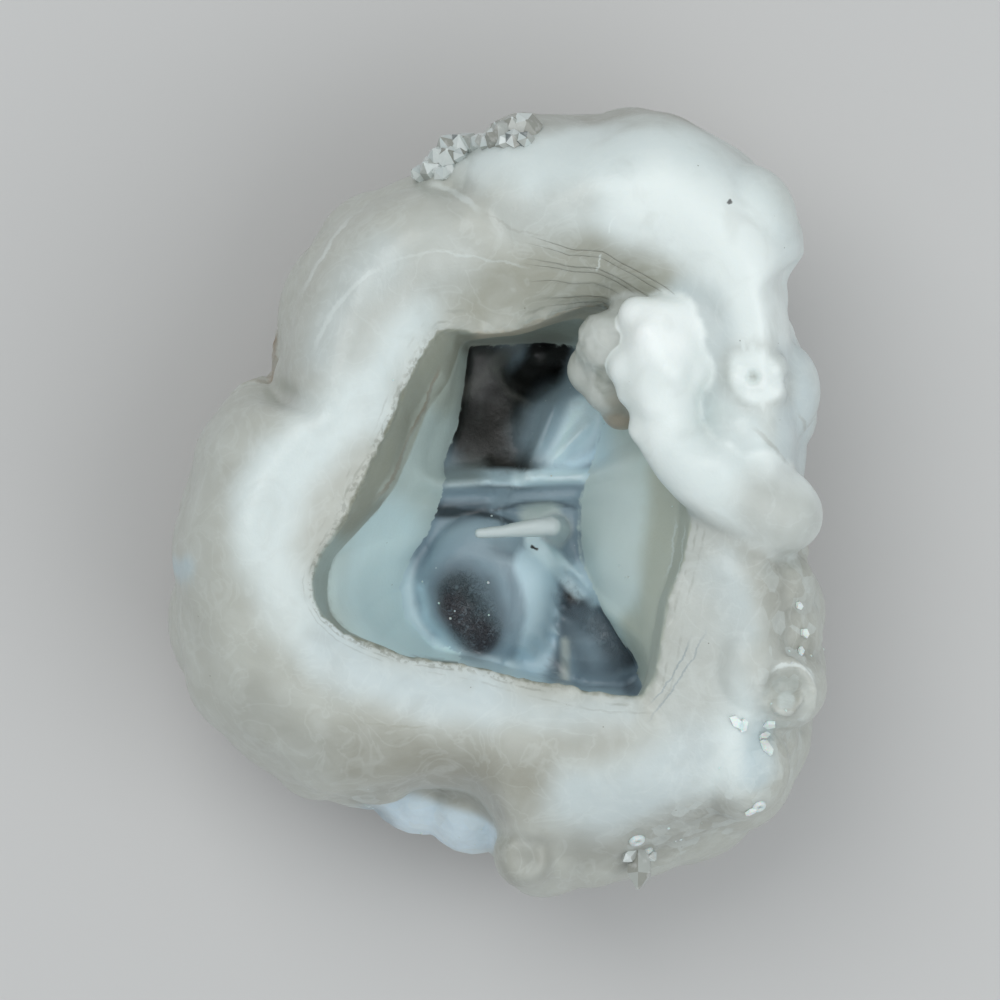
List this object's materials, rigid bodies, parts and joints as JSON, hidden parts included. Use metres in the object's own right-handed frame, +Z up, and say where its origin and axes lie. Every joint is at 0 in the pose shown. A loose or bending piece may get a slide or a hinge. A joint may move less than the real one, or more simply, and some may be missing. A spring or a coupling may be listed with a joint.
{
  "type": "chalcedony geode",
  "caption": "Milky chalcedony geode: a thick rolled rim round a deep flat-walled hollow, with a curled lobed arm over the mouth.",
  "frame": {"origin": "on the flat face that the stone rests on, under the middle of the stone's box", "axes": "+Z up out of the hollow's mouth, +Y towards the long upper lobe of the rim, +X towards the side that the arm grows from"},
  "size_m": [0.0662, 0.0794, 0.0416],
  "materials": {
    "chalcedony": "milky, waxy and slightly translucent natural stone, opaque white on the rim's crest and grey-blue on the hollow's floor"
  },
  "bodies": {
    "root": {"chalcedony": "chalcedony"}
  },
  "joints": []
}
